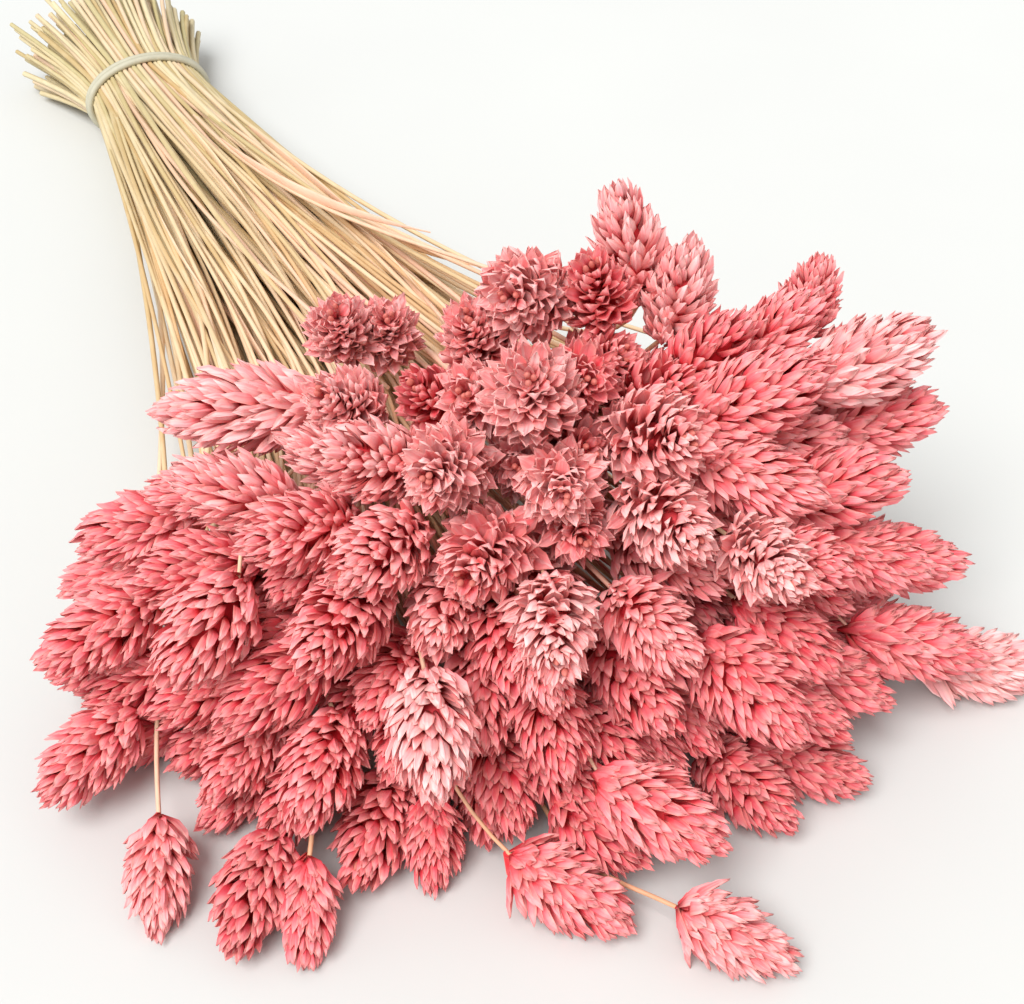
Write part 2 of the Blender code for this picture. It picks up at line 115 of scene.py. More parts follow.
# Straws sag together in wisps, and a little each for itself. They are then pushed clear of an egg round each head,
# which reaches HEAD_ROOM of the head's length from its middle.
WISP_WIDTH = 11 * MM
WISP_SWAY = 4.0 * MM
STRAW_SWAY = 2.4 * MM
STRAW_WAVE = 2.0 * MM
SWAY_WAY = np.array([1.0, 0.0, 0.7])
BEND_ROUNDS = 40
BEND_PUSH = 0.25
BEND_EASE = 0.12
HEAD_ROOM = 0.52

# Straws whose heads are buried fill the waist in outer rings and an inner disc. Each runs between two others and
# is drawn towards the middle of the mound, where it stops.
OUTER_SHARES = (0.975, 0.9)
INNER_SHARE = 0.85
INNER_STRAWS = 170
PACKED_PITCH = 1.75 * MM
PACKED_SPREAD = 0.15
GUIDE_SPREAD = 4 * MM
GUIDE_SHARES = (0.2, 0.8)
SLOT_HOLD = 0.3
MIDDLE_PULL = 0.16
BURIED_STOP = (0.82, 0.97)

# Behind the band the straws flare out in a curve to their cut ends.
CUT_END_Y = (50 * MM, 70 * MM)
CUT_END_FLARE = (1.35, 1.85)
CUT_END_SPREAD = 1.2 * MM
CUT_END_LOWEST = 1.4 * MM
CUT_END_CURVE = 1.4
CUT_END_STEPS = (1.0, 0.75, 0.5, 0.25)

# Tones run from BUNCH_START behind the band to BUNCH_REACH in front of it. Buried straws are dyed near the heads.
BUNCH_START = 70 * MM
BUNCH_REACH = 420 * MM
DYED_FROM = 0.72
DYED_FADE = 6
DRAW_SEED = 5

TONES_ALONG = (
    (0.0, (0.44, 0.41, 0.24, 1)),
    (0.2, (0.48, 0.40, 0.21, 1)),
    (0.45, (0.68, 0.48, 0.27, 1)),
    (0.75, (0.90, 0.57, 0.38, 1)),
    (1.0, (0.95, 0.48, 0.36, 1)),
)
TONES_BY_STRAW = (
    (0.0, (0.62, 0.34, 0.12, 1)),
    (0.2, (0.54, 0.45, 0.20, 1)),
    (0.45, (0.74, 0.57, 0.33, 1)),
    (0.7, (0.88, 0.74, 0.50, 1)),
    (1.0, (0.92, 0.56, 0.45, 1)),
)
GRAIN_SHADE = (0.62, 0.48, 0.30, 1)
BLEACHED = (0.90, 0.82, 0.62, 1)
WICKED_DYE = (0.66, 0.10, 0.10, 1)
GRAIN_FINENESS = (900.0, 40.0, 900.0)
BLOTCH_FINENESS = 60.0


class Wire:
    """A socket that can be written in sums: an operation on it adds its Math node and gives that node's wire."""

    def __init__(self, tree, socket):
        self.tree = tree
        self.socket = socket

    def _math(self, operation, *values):
        return self.tree.add("ShaderNodeMath", {"operation": operation}, dict(enumerate(values)))

    def __add__(self, other):
        return self._math("ADD", self, other)

    def __sub__(self, other):
        return self._math("SUBTRACT", self, other)

    def __mul__(self, other):
        return self._math("MULTIPLY", self, other)

    def __truediv__(self, other):
        return self._math("DIVIDE", self, other)

    def __pow__(self, other):
        return self._math("POWER", self, other)

    def __rsub__(self, other):
        return self._math("SUBTRACT", other, self)

    __radd__ = __add__
    __rmul__ = __mul__

    def clamp(self):
        return self.tree.add("ShaderNodeClamp", {}, {"Value": self})

    def sine(self):
        return self._math("SINE", self)

    def cosine(self):
        return self._math("COSINE", self)


class Tree:
    """A node tree that is written top to bottom: add() makes a node and gives one of its outputs as a Wire."""

    def __init__(self, nodes_and_links):
        self.nodes = nodes_and_links.nodes
        self.links = nodes_and_links.links

    def add(self, kind, settings, sockets, output=0):
        """Makes a node of this type, with its settings first and then the values or wires of its sockets."""
        node = self.nodes.new(kind)
        for name, value in settings.items():
            if name == "stops":
                ramp = node.color_ramp.elements
                while len(ramp) < len(value):
                    ramp.new(0.5)
                for stop, (place, colour) in zip(ramp, value):
                    stop.position = place
                    stop.color = colour
            else:
                setattr(node, name, value)
        for name, value in sockets.items():
            socket = node.inputs[name]
            if isinstance(value, Wire):
                self.links.new(value.socket, socket)
            else:
                socket.default_value = value
        return Wire(self, node.outputs[output])

    def colour_mix(self, blend, share, one, other):
        sockets = {0: share, 6: one, 7: other}
        return self.add("ShaderNodeMix", {"data_type": "RGBA", "blend_type": blend}, sockets, 2)

    def attribute(self, name):
        return self.add("ShaderNodeAttribute", {"attribute_name": name}, {}, "Fac")


def start_material(name):
    """A new material and the tree that its nodes are added to."""
    material = bpy.data.materials.new(name)
    material.use_nodes = True
    return material, Tree(material.node_tree)


def finish_material(material, tree, **sockets):
    """Sets the shader's sockets, given by their names with _ for a space."""
    shader = material.node_tree.nodes["Principled BSDF"]
    for name, value in sockets.items():
        socket = shader.inputs[name.replace("_", " ")]
        if isinstance(value, Wire):
            tree.links.new(value.socket, socket)
        else:
            socket.default_value = value
    return material


def straw_material():
    """Dry straw: toned along the bunch and from straw to straw, with long grain, pale blotches and wicked dye."""
    material, tree = start_material("straw")
    tone_along = tree.add("ShaderNodeValToRGB", {"stops": TONES_ALONG}, {"Fac": tree.attribute("along")})
    tone_by_straw = tree.add("ShaderNodeValToRGB", {"stops": TONES_BY_STRAW}, {"Fac": tree.attribute("tint")})
    place = tree.add("ShaderNodeTexCoord", {}, {}, "Object")
    long_grain = tree.add("ShaderNodeVectorMath", {"operation": "MULTIPLY"}, {0: place, 1: GRAIN_FINENESS})
    grain = tree.add("ShaderNodeTexNoise", {}, {"Vector": long_grain, "Scale": 1.0, "Detail": 3.0})
    blotch = tree.add("ShaderNodeTexNoise", {}, {"Vector": place, "Scale": BLOTCH_FINENESS, "Detail": 2.0})
    colour = tree.colour_mix("MIX", 0.5, tone_along, tone_by_straw)
    colour = tree.colour_mix("MULTIPLY", (grain * 1.6 - 0.55).clamp() * 0.35, colour, GRAIN_SHADE)
    colour = tree.colour_mix("MIX", (blotch * 3.0 - 1.6).clamp() * 0.3, colour, BLEACHED)
    colour = tree.colour_mix("MIX", tree.attribute("dyed") * 0.8, colour, WICKED_DYE)
    bump = tree.add("ShaderNodeBump", {}, {"Strength": 0.25, "Distance": 0.2 * MM, "Height": grain})
    return finish_material(material, tree, Base_Color=colour, Roughness=grain * 0.2 + 0.42, Normal=bump)


def head_places():
    """Every seed head as (node, seat middle, axis, length, radius), found from its solid's flat eight-sided seat."""
    heads = []
    for name, node in sorted(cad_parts.items()):
        if not name.startswith("seed_head_"):
            continue
        solid = bmesh.new()
        solid.from_mesh(node.data)
        bmesh.ops.remove_doubles(solid, verts=solid.verts, dist=1e-6)
        bmesh.ops.dissolve_limit(solid, angle_limit=math.radians(0.2), verts=solid.verts, edges=solid.edges)
        for face in solid.faces:
            middle = face.calc_center_median_weighted()
            rim = max((vert.co - middle).length for vert in face.verts)
            share = face.calc_area() / (SEAT_AREA * rim**2)
            if len(face.verts) < SEAT_SIDES or abs(share - 1) > SEAT_TOLERANCE:
                continue
            axis = -face.normal
            on_axis = [
                (vert.co - middle).dot(axis)
                for vert in solid.verts
                if (vert.co - middle).cross(axis).length < ON_AXIS
            ]
            radius = rim / SEAT_SHARE
            tips = [reach for reach in on_axis if reach > 2 * radius]
            length = max(tips, default=radius / HIDDEN_TIP_PLUMPNESS)
            heads.append((name, np.array(middle), np.array(axis), length, radius))
        solid.free()
    if len(heads) != HEAD_COUNT:
        raise ValueError(f"{len(heads)} seats found")
    return heads


def tucked_heads(heads):
    """Smaller heads in the hollows between neighbours, a little behind them, as (no node, seat, axis, ...)."""
    axes = np.array([head[2] for head in heads])
    lengths = np.array([head[3] for head in heads])
    radii = np.array([head[4] for head in heads])
    middles = np.array([head[1] for head in heads]) + axes * lengths[:, None] / 2
    half = (lengths / 2 - radii)[:, None] * axes
    far = np.linalg.norm(middles[:, None] - middles[None], axis=2)
    crowded = np.nonzero(np.sort(far, axis=1)[:, CROWD_HEADS] < CROWD_REACH)[0]
    hollows = []
    for _ in range(HOLLOW_TRIES):
        near = np.argsort(far[draw.choice(crowded)])[: CROWD_HEADS + 1]
        trio = draw.choice(near, 3, replace=False)
        weights = draw.dirichlet((3, 3, 3))
        axis = weights @ axes[trio]
        axis /= np.linalg.norm(axis)
        middle = weights @ middles[trio] - axis * draw.uniform(0, TUCKED_BEHIND)
        along = np.clip(((middle - middles) * half).sum(1) / (half**2).sum(1), -1, 1)[:, None]
        clear = (np.linalg.norm(middles + half * along - middle, axis=1) - radii).min()
        hollows.append((clear, tuple(middle), tuple(axis)))
    chosen = []
    for clear, middle, axis in sorted(hollows, reverse=True):
        middle, axis = np.array(middle), np.array(axis)
        apart = all(np.linalg.norm(middle - other) > TUCKED_SPACING for other, _, _ in chosen)
        if apart and middle[2] > TUCKED_ABOVE:
            chosen.append((middle, axis, draw.uniform(*TUCKED_LENGTH)))
        if clear < TUCKED_GAP:
            break
    return [
        ("", middle - axis * length / 2, axis, length, length * TUCKED_PLUMPNESS)
        for middle, axis, length in chosen
    ]


def waist_slots(places):
    """Where the stalk of each head runs through the band: neighbours in the mound are neighbours there."""
    edges = np.linspace(-1, 1, WAIST_COLUMNS + 1)
    across = (edges[1:] + edges[:-1]) / 2
    tall = np.sqrt(1 - across**2)
    by_bearing = np.argsort(np.arctan2(places[:, 0], -places[:, 1]))
    column = np.searchsorted(np.cumsum(tall) / tall.sum(), (np.arange(len(places)) + 0.5) / len(places))
    rise = places[:, 2] / np.hypot(places[:, 0], places[:, 1])
    slots = np.zeros((len(places), 3))
    for k in range(WAIST_COLUMNS):
        members = by_bearing[column == k]
        members = members[np.argsort(rise[members])]
        level = (2 * np.arange(len(members)) + 1) / max(len(members), 1) - 1
        slots[members, 0] = across[k] * WAIST_FILLING * WAIST_HALF_WIDTH
        slots[members, 2] = WAIST_HEIGHT + level * tall[k] * WAIST_FILLING * WAIST_HALF_HEIGHT
    return slots


def straw_lines(slots, ends, aims):
    """The middle line of each straw from its slot in the band to its end, where it arrives along its aim."""
    reach = np.linalg.norm(ends - slots, axis=1)[:, None]
    leave = slots + (ends - slots) * STRAW_LEAVE_SHARE * STRAW_LEAVE_WAY
    neck = ends - aims * reach * STRAW_NECK_SHARE
    t = np.linspace(0, 1, STRAW_STEPS)[None, :, None]
    slots, leave, neck, ends = (p[:, None] for p in (slots, leave, neck, ends))
    near_band = (1 - t) ** 3 * slots + 3 * t * (1 - t) ** 2 * leave
    return near_band + 3 * t**2 * (1 - t) * neck + t**3 * ends


def sway(lines):
    """The lines with the bends and crossings of dry straws, which lean together in wisps."""
    t = np.linspace(0, 1, lines.shape[1])[None, :, None]
    way = draw.normal(0, 1, (3, len(lines), 1, 3)) * SWAY_WAY
    mid = lines[:, lines.shape[1] // 2]
    wisp = np.round(np.stack([mid[:, 0] / WISP_WIDTH, mid[:, 2] / WISP_WIDTH], 1)).astype(int)
    _, wisp = np.unique(wisp, axis=0, return_inverse=True)
    together = way[2][np.ravel(wisp)] * WISP_SWAY * np.sin(math.pi * t**0.8) ** 2
    own = way[0] * STRAW_SWAY * np.sin(math.pi * t) ** 2 + way[1] * STRAW_WAVE * np.sin(2 * math.pi * t)
    return lines + together + own


def bend_clear(lines, owner):
    """Bends the straws round the heads that they would run through. owner is each straw's own head, or -1."""
    free = np.ones(lines.shape[1])
    free[[0, -1]] = 0
    for _ in range(BEND_ROUNDS):
        push = np.zeros_like(lines)
        for k, (middle, axis, length, radius) in enumerate(zip(middles, axes, lengths, radii)):
            off = lines - middle
            up = (off @ axis)[..., None]
            out = off - up * axis
            far = np.linalg.norm(out, axis=2)[..., None]
            inside = (up / (length * HEAD_ROOM)) ** 2 + (far / (radius + STRAW_RADIUS)) ** 2 < 1
            inside[owner == k] = False
            way = out / np.maximum(far, 1e-5)
            push += inside * way * (radius + STRAW_RADIUS - far) * BEND_PUSH
        push[:, 1:-1] = (push[:, :-2] + 2 * push[:, 1:-1] + push[:, 2:]) / 4
        push[:, 1:-1] += BEND_EASE * (lines[:, :-2] + lines[:, 2:] - 2 * lines[:, 1:-1])
        lines = lines + push * free[None, :, None]
    return lines


def packed_slots():
    """Slots for the straws whose heads are buried: rings of them just inside the band, and some in the middle."""
    slots = []
    for ring, share in enumerate(OUTER_SHARES):
        wide, tall = WAIST_HALF_WIDTH * share, WAIST_HALF_HEIGHT * share
        around = math.pi * (3 * (wide + tall) - math.sqrt((3 * wide + tall) * (wide + 3 * tall)))
        count = int(around / PACKED_PITCH)
        for k in range(count):
            turn = (k + 0.5 * ring + draw.uniform(-PACKED_SPREAD, PACKED_SPREAD)) / count
            slots.append((share, 2 * math.pi * turn))
    for _ in range(INNER_STRAWS):
        slots.append((INNER_SHARE * math.sqrt(draw.uniform()), draw.uniform(0, 2 * math.pi)))
    share, angle = np.array(slots).T
    across = WAIST_HALF_WIDTH * share * np.cos(angle)
    return np.stack([across, 0 * share, WAIST_HEIGHT + WAIST_HALF_HEIGHT * share * np.sin(angle)], 1)


def part_of(line, start, stop, count):
    """The part of a line from one share of it to another, with this many points."""
    t = np.linspace(start, stop, count) * (len(line) - 1)
    return np.stack([np.interp(t, np.arange(len(line)), line[:, k]) for k in range(3)], 1)


def buried_lines(slots):
    """Straws between those that carry visible heads: each follows its two nearest ones and ends among the heads."""
    lines = []
    for slot in slots:
        far = np.linalg.norm(head_lines[:, 0] - slot, axis=1)
        one, other = np.argsort(far + draw.uniform(0, GUIDE_SPREAD, len(far)))[:2]
        share = draw.uniform(*GUIDE_SHARES)
        mixed = head_lines[one] * (1 - share) + head_lines[other] * share
        mixed = mixed + (slot - mixed[0]) * np.linspace(1, SLOT_HOLD, STRAW_STEPS)[:, None]
        mixed = mixed + (seats.mean(0) - mixed) * MIDDLE_PULL * np.linspace(0, 1, STRAW_STEPS)[:, None] ** 3
        lines.append(part_of(mixed, 0, draw.uniform(*BURIED_STOP), STRAW_STEPS))
    return np.array(lines)


def with_cut_ends(lines):
    """The lines with their way through the band and their cut end in front, where the bunch flares out again."""
    middle = np.array([0.0, 0.0, WAIST_HEIGHT])
    start = lines[:, 0]
    flare = draw.uniform(*CUT_END_FLARE, len(lines))[:, None]
    ends = middle + (start - middle) * flare + draw.normal(0, CUT_END_SPREAD, (len(lines), 3))
    ends[:, 1] = draw.uniform(*CUT_END_Y, len(lines))
    ends[:, 2] = np.maximum(ends[:, 2], CUT_END_LOWEST)
    steps = []
    for share in CUT_END_STEPS:
        bent = share**CUT_END_CURVE
        steps.append(start + (ends - start) * np.array([bent, share, bent]))
    return np.concatenate([np.stack(steps, 1), lines], 1)


def share_along(lines):
    """How far along the bunch the points of the lines are: 0 at the cut ends and 1 at the farthest heads."""
    return np.interp(-lines[..., 1], [-BUNCH_START, BUNCH_REACH], [0, 1])


def line_mesh(name, lines, point_values, cyclic=False):
    """A mesh of edges along the lines, with values on its points: what the sweep tree turns into stalks."""
    count, steps = lines.shape[:2]
    first = np.arange(count * steps).reshape(count, steps)
    edges = np.stack([first[:, :-1].ravel(), first[:, 1:].ravel()], 1)
    if cyclic:
        edges = np.vstack([edges, np.stack([first[:, -1], first[:, 0]], 1)])
    mesh = bpy.data.meshes.new(name)
    mesh.from_pydata(lines.reshape(-1, 3), edges.tolist(), [])
    for label, values in point_values.items():
        attribute = mesh.attributes.new(label, "FLOAT", "POINT")
        attribute.data.foreach_set("value", np.broadcast_to(values, (count, steps)).astype(np.float32).ravel())
    return mesh


def start_shape(name, inputs):
    """A Geometry Nodes tree with named inputs, and the wire of each."""
    group = bpy.data.node_groups.new(name, "GeometryNodeTree")
    group.interface.new_socket("Geometry", in_out="OUTPUT", socket_type="NodeSocketGeometry")
    group.interface.new_socket("Geometry", in_out="INPUT", socket_type="NodeSocketGeometry")
    for label, kind in inputs.items():
        group.interface.new_socket(label, in_out="INPUT", socket_type=kind)
    tree = Tree(group)
    source = group.nodes.new("NodeGroupInput")
    return group, tree, {socket.name: Wire(tree, socket) for socket in source.outputs if socket.name}


def finish_shape(tree, geometry, material):
    """Ends the tree: real geometry instead of instances, with its material."""
    real = tree.add("GeometryNodeRealizeInstances", {}, {"Geometry": geometry})
    coloured = tree.add("GeometryNodeSetMaterial", {}, {"Geometry": real, "Material": material})
    target = tree.nodes.new("NodeGroupOutput")
    tree.links.new(coloured.socket, target.inputs["Geometry"])


def shape_piece(name, mesh, group, values):
    """Runs the tree on a mesh and returns the result as a plain object."""
    piece = bpy.data.objects.new(name, mesh)
    bpy.context.scene.collection.objects.link(piece)
    modifier = piece.modifiers.new(group.name, "NODES")
    modifier.node_group = group
    for item in group.interface.items_tree:
        if item.in_out == "INPUT" and item.name in values:
            modifier[item.identifier] = values[item.name]
    graph = bpy.context.evaluated_depsgraph_get()
    made = bpy.data.meshes.new_from_object(piece.evaluated_get(graph))
    piece.modifiers.clear()
    piece.data = made
    return piece


def sweep_tree():
    """Sweeps an oval along every line, as wide as the width of the line's points says, and closes its ends."""
    inputs = {"Sides": "NodeSocketInt", "Flatness": "NodeSocketFloat", "Material": "NodeSocketMaterial"}
    group, tree, given = start_shape("Sweep stalks", inputs)
    curves = tree.add("GeometryNodeMeshToCurve", {}, {"Mesh": given["Geometry"]})
    width = tree.add("GeometryNodeInputNamedAttribute", {}, {"Name": "width"})
    circle = tree.add("GeometryNodeCurvePrimitiveCircle", {}, {"Resolution": given["Sides"], "Radius": 1.0})
    oval_scale = tree.add("ShaderNodeCombineXYZ", {}, {"X": given["Flatness"], "Y": 1.0, "Z": 1.0})
    oval = tree.add("GeometryNodeTransform", {}, {"Geometry": circle, "Scale": oval_scale})
    sockets = {"Curve": curves, "Profile Curve": oval, "Scale": width, "Fill Caps": True}
    stalks = tree.add("GeometryNodeCurveToMesh", {}, sockets)
    # The faces round a stalk have four corners each and are smooth. Its flat caps have more.
    corners = tree.add("GeometryNodeInputMeshFaceNeighbors", {}, {}, "Vertex Count")
    round_side = tree.add("ShaderNodeMath", {"operation": "LESS_THAN"}, {0: corners, 1: 4.5})
    stalks = tree.add("GeometryNodeSetShadeSmooth", {}, {"Geometry": stalks, "Shade Smooth": round_side})
    finish_shape(tree, stalks, given["Material"])
    return group


draw = np.random.default_rng(DRAW_SEED)
carried = head_places()
carried = carried + tucked_heads(carried)
head_nodes, seats, axes, lengths, radii = (np.array(column) for column in zip(*carried))
middles = seats + axes * lengths[:, None] / 2
head_lines = straw_lines(waist_slots(middles), seats + axes * SEAT_GAP, axes)
buried = buried_lines(packed_slots())
owners = np.concatenate([np.arange(len(seats)), np.full(len(buried), -1)])
swayed = bend_clear(sway(np.concatenate([head_lines, buried])), owners)
lines = with_cut_ends(swayed)

along = share_along(lines)
width = np.interp(along, STRAW_THINNING, [STRAW_RADIUS, STRAW_TOP_RADIUS])
width = width * draw.uniform(*STRAW_SPREAD, len(lines))[:, None]
tint = draw.uniform(0, 1, len(lines))[:, None]
hidden = np.concatenate([head_nodes == "", np.full(len(buried), True)])[:, None]
dyed = hidden * np.clip((along - DYED_FROM) * DYED_FADE, 0, 1)
mesh = line_mesh("straws", lines, {"width": width, "along": along, "tint": tint, "dyed": dyed})
sweep = sweep_tree()
straw_look = straw_material()
straws = shape_piece("straws", mesh, sweep, {"Sides": STRAW_SIDES, "Flatness": 1.0, "Material": straw_look})
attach(straws, "root")
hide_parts("stems")


# ---- Leaf sheaths: dry, flattened leaf bases that still wrap some of the straws, from a hand's width below the tie
# to near the heads. They are wider than the straws, curl away from them a little, and hold more of the dye.

# Each sheath follows one of the highest straws, from a share of its way and for a share of it, and lifts off it.
SHEATH_COUNT = 22
SHEATH_STEPS = 16
SHEATH_SIDES = 8
SHEATH_HALF_WIDTH = 2.3 * MM
SHEATH_TIP = 0.12
SHEATH_FULLEST = 0.7
SHEATH_SPREAD = (0.6, 1.1)
SHEATH_FLATNESS = 0.28
SHEATH_BEARERS = 60
SHEATH_START = (0.1, 0.4)
SHEATH_SHARE = (0.22, 0.42)
SHEATH_LIFT = np.array([0.0, 0.0, 1.2 * MM])
SHEATH_ASIDE = 4 * MM
SHEATH_CURL = (1 * MM, 5 * MM)
SHEATH_DYE = 0.25
SHEATH_TINTS = (0.6, 1)


def sheath_lines(count):
    """Lines that follow straws on the upper side of the bunch for part of their way, just above them."""
    high = head_lines[:, STRAW_STEPS // 3, 2]
    free = np.linspace(0, 1, SHEATH_STEPS)[:, None] ** 2
    sheaths = []
    for bearer in draw.choice(np.argsort(high)[-SHEATH_BEARERS:], count, replace=False):
        start = draw.uniform(*SHEATH_START)
        line = part_of(swayed[bearer], start, start + draw.uniform(*SHEATH_SHARE), SHEATH_STEPS)
        way = np.array([draw.normal(0, SHEATH_ASIDE), 0.0, draw.uniform(*SHEATH_CURL)])
        sheaths.append(line + SHEATH_LIFT + way * free)
    return np.array(sheaths)


sheaths = sheath_lines(SHEATH_COUNT)
swell = np.maximum(np.sin(math.pi * np.linspace(0, 1, SHEATH_STEPS)[None] ** SHEATH_FULLEST), SHEATH_TIP)
width = swell * SHEATH_HALF_WIDTH * draw.uniform(*SHEATH_SPREAD, SHEATH_COUNT)[:, None]
along = share_along(sheaths) + SHEATH_DYE
tint = draw.uniform(*SHEATH_TINTS, SHEATH_COUNT)[:, None]
mesh = line_mesh("leaf_sheaths", sheaths, {"width": width, "along": along, "tint": tint})
values = {"Sides": SHEATH_SIDES, "Flatness": SHEATH_FLATNESS, "Material": straw_look}
leaf_sheaths = shape_piece("leaf_sheaths", mesh, sweep, values)
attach(leaf_sheaths, "root")


# ---- Seed heads: an egg-shaped spike of about 150 papery scales that are folded along a keel and end in a point.
# They overlap like roof tiles from a frill at the foot to a tuft of small ones at the top, and are dyed pink.

SCALE_LENGTH = 11.8 * MM
SCALE_WIDTH = 3.7 * MM
SCALE_COUNT = 190
TUCKED_SCALES = 130
BUD_COUNT = 3
TYPICAL_HEAD = 33 * MM
RAGGEDNESS = 1.8 * MM
GOLDEN_ANGLE = math.radians(137.508)

# A scale's cross-sections from foot to tip: height, width, bow and depth of its teeth, as shares of its size.
SCALE_STATIONS = ((0.0, 0.3, 0.0, 0.0), (0.42, 1.0, 0.03, 0.0), (0.76, 0.8, 0.03, 0.02), (0.98, 0.16, -0.03, 0.04))
# The corners of each: forward, sideways, how far it belongs to the margin, and how far its tooth stands up.
SCALE_CORNERS = ((0.0, -0.5, 1.0, -0.6), (0.4, 0.0, 0.0, 1.0), (0.0, 0.5, 1.0, -0.1), (0.22, 0.0, 0.0, 0.6))

# The head's outline, the core inside it, and how much slimmer the core of an open rosette is.
OUTLINE_TAPER = 0.8
OUTLINE_FULLNESS = 0.6
CORE_SIDES = 8
CORE_RINGS = 6
CORE_SLIMNESS = 0.5
ROSETTE_CORE_LESS = 0.2
CORE_LONGER = 0.3

# How the scales stand: their tilt from foot to top when closed and in a rosette, what varies at random, and how
# they shorten towards both ends and narrow towards the top. FOOT_RISE and RAGGED_RISE say how soon above the foot
# the full length and raggedness are reached. Angles are in radians.
FIRST_HEIGHT = 0.1
TURN_SPREAD = 0.18
CLOSED_CURVE = 0.55
CLOSED_LEAN = 0.1
ROSETTE_TOP_TILT = 0.44
ROSETTE_FOOT_TILT = 0.74
ROSETTE_CURVE = 0.8
TILT_SPREAD = 0.2
ROLL_SPREAD = 0.6
FOOT_SCALE_LENGTH = 0.55
FOOT_RISE = 8
RAGGED_RISE = 6
TOP_SHORTENING = 0.4
TOP_NARROWING = 0.35
ROSETTE_WIDENING = 0.35
LENGTH_SPREAD = (0.8, 1.2)
WIDTH_SPREAD = (0.75, 1.25)
FOLD_SPREAD = (0.85, 1.5)
LEAST_OUT = 0.3 * MM

# Buds are the small brown florets at the top. Their places are shares of the head's size, and their sizes are
# shares of a scale's width.
BUD_TURN = 2.2
BUD_TURN_SPREAD = 2.0
BUD_ASIDE = (0.06, 0.24)
BUD_HEIGHT = (0.72, 0.79)
ROSETTE_BUD_RISE = 0.14
BUD_WIDTH = 0.22
BUD_LENGTH = 0.75

# Heads that look towards OPEN_TOWARDS have opened into rosettes. Those, and heads that stand alone or high up, are
# made
# paler: painted light, as if more light fell on them. Tucked ones are made deeper in tone: painted shade in the
# hollows.
OPENNESS = (0.85, 1.25)
OPEN_TOWARDS = np.array([-0.35, -0.7, 0.62])
ROSETTE_GAIN = 1.25
ROSETTE_FOCUS = 5
ROSETTE_SPREAD = 0.1
ALONE_FROM = 24 * MM
ALONE_OVER = 12 * MM
RAISED_OVER = 90 * MM
OWN_PALENESS = 0.5
ROSETTE_PAINTED_LIGHT = 0.45
ALONE_PAINTED_LIGHT = 0.8
RAISED_PAINTED_LIGHT = 0.7
COMMON_DEPTH = 0.22
TUCKED_PAINTED_SHADE = 0.35

DYE_TONES = (
    (0.0, (0.66, 0.04, 0.07, 1)),
    (0.3, (0.80, 0.08, 0.115, 1)),
    (0.6, (0.87, 0.14, 0.175, 1)),
    (0.85, (0.91, 0.28, 0.295, 1)),
    (1.0, (0.96, 0.58, 0.57, 1)),
)
# The next colour is painted shade: it darkens the dye at the hidden foot of each scale and on the core.
PAINTED_FOOT_SHADE = (0.8, 0.22, 0.26, 1)
FADED_PINK = (0.98, 0.60, 0.60, 1)
DRY_MARGIN = (0.98, 0.50, 0.38, 1)
FIBRE_SHADE = (0.97, 0.45, 0.47, 1)
BUD_BROWN = (0.58, 0.25, 0.19, 1)
MOTTLE_FINENESS = 420.0


def scale_mesh():
    """One scale of length 1 and width 1 along +Z: a boat with a sharp keel towards +X and a torn, toothed tip."""
    mesh = bmesh.new()
    along = mesh.verts.layers.float.new("along")
    edge = mesh.verts.layers.float.new("edge")
    rings = []
    for height, wide, bow, teeth in SCALE_STATIONS:
        ring = []
        for x, y, margin, tooth in SCALE_CORNERS:
            vert = mesh.verts.new((x * wide + bow, y * wide, height + tooth * teeth))
            vert[along], vert[edge] = height, margin
            ring.append(vert)
        rings.append(ring)
    for low, high in zip(rings, rings[1:]):
        for k in range(len(SCALE_CORNERS)):
            after = (k + 1) % len(SCALE_CORNERS)
            mesh.faces.new((low[k], low[after], high[after], high[k]))
    mesh.faces.new(rings[0][::-1])
    mesh.faces.new(rings[-1])
    bmesh.ops.recalc_face_normals(mesh, faces=mesh.faces)
    for face in mesh.faces:
        face.smooth = True
    # The two margins and the keel between them stay sharp, and only the inside is rounded.
    for low, high in zip(rings, rings[1:]):
        for k in range(3):
            mesh.edges.get((low[k], high[k])).smooth = False
    data = bpy.data.meshes.new("scale")
    mesh.to_mesh(data)
    mesh.free()
    return data


def core_mesh():
    """The spike's inner body, of length 1 and radius 1 along +Z, on which the scales stand."""
    mesh = bmesh.new()
    turns = [2 * math.pi * k / CORE_SIDES for k in range(CORE_SIDES)]
    rings = []
    for ring in range(1, CORE_RINGS):
        share = (1 - math.cos(math.pi * ring / CORE_RINGS)) / 2
        wide = math.sin(math.pi * share**OUTLINE_TAPER) ** OUTLINE_FULLNESS
        rings.append([mesh.verts.new((wide * math.cos(turn), wide * math.sin(turn), share)) for turn in turns])
    foot, top = mesh.verts.new((0.0, 0.0, 0.0)), mesh.verts.new((0.0, 0.0, 1.0))
    for k in range(CORE_SIDES):
        after = (k + 1) % CORE_SIDES
        mesh.faces.new((foot, rings[0][after], rings[0][k]))
        for low, high in zip(rings, rings[1:]):
            mesh.faces.new((low[k], low[after], high[after], high[k]))
        mesh.faces.new((rings[-1][k], rings[-1][after], top))
    for face in mesh.faces:
        face.smooth = True
    data = bpy.data.meshes.new("core")
    mesh.to_mesh(data)
    mesh.free()
    return data


